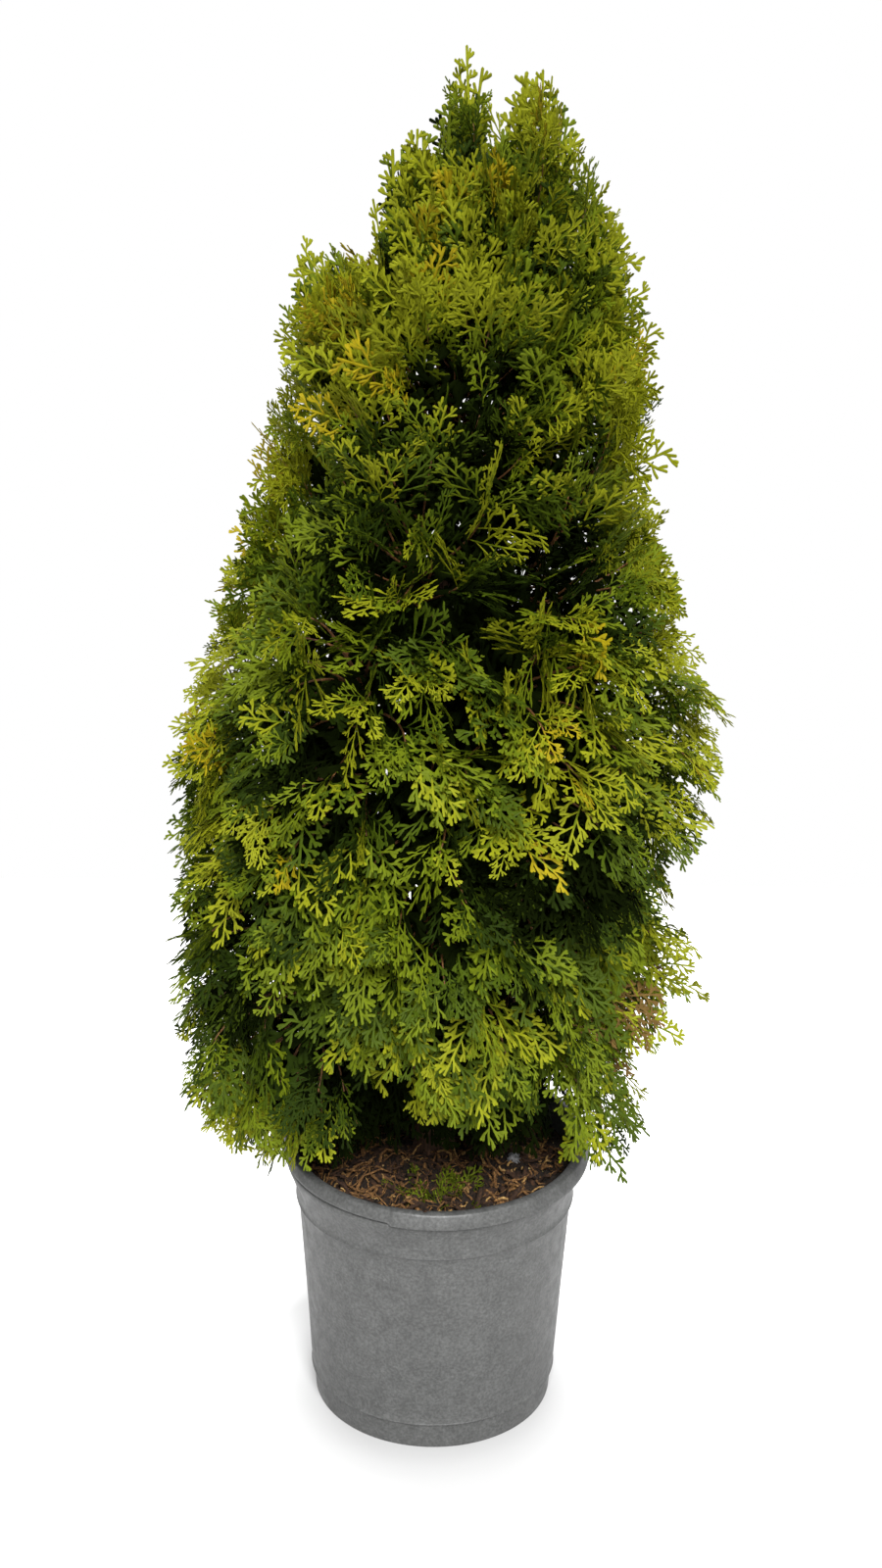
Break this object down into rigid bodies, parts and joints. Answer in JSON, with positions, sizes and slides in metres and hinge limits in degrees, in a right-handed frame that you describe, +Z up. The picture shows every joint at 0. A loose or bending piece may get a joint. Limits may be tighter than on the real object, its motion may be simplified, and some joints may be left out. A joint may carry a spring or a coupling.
{
  "type": "potted thuja",
  "caption": "Young golden thuja, upright and bushy with fan-shaped sprays down to the rim, standing in a round grey nursery pot of soil.",
  "frame": {"origin": "centre of the pot's flat underside", "axes": "+Z up along the plant, +X to the plant's right as seen from its front, -Y towards its front"},
  "size_m": [0.5039, 0.481, 1.2367],
  "materials": {
    "pot_plastic": "matte",
    "soil": "matte",
    "bark": "matte",
    "foliage": "satin"
  },
  "bodies": {
    "root": {"belly_1": "foliage", "belly_2": "foliage", "belly_3": "foliage", "belly_4": "foliage", "belly_5": "foliage", "belly_6": "foliage", "bough_belly_1": "bark", "bough_belly_2": "bark", "bough_belly_3": "bark", "bough_belly_4": "bark", "bough_belly_5": "bark", "bough_belly_6": "bark", "bough_skirt_1": "bark", "bough_skirt_2": "bark", "bough_skirt_3": "bark", "bough_skirt_4": "bark", "bough_skirt_5": "bark", "bough_skirt_6": "bark", "crest_1": "foliage", "crest_2": "foliage", "crest_3": "foliage", "crest_4": "foliage", "leader_left": "bark", "leader_right": "bark", "pot": "pot_plastic", "shoulder_1": "foliage", "shoulder_2": "foliage", "shoulder_3": "foliage", "shoulder_4": "foliage", "shoulder_5": "foliage", "skirt_1": "foliage", "skirt_2": "foliage", "skirt_3": "foliage", "skirt_4": "foliage", "skirt_5": "foliage", "skirt_6": "foliage", "soil": "soil", "tip_main": "foliage", "tip_right": "foliage", "trunk": "bark"}
  },
  "joints": []
}
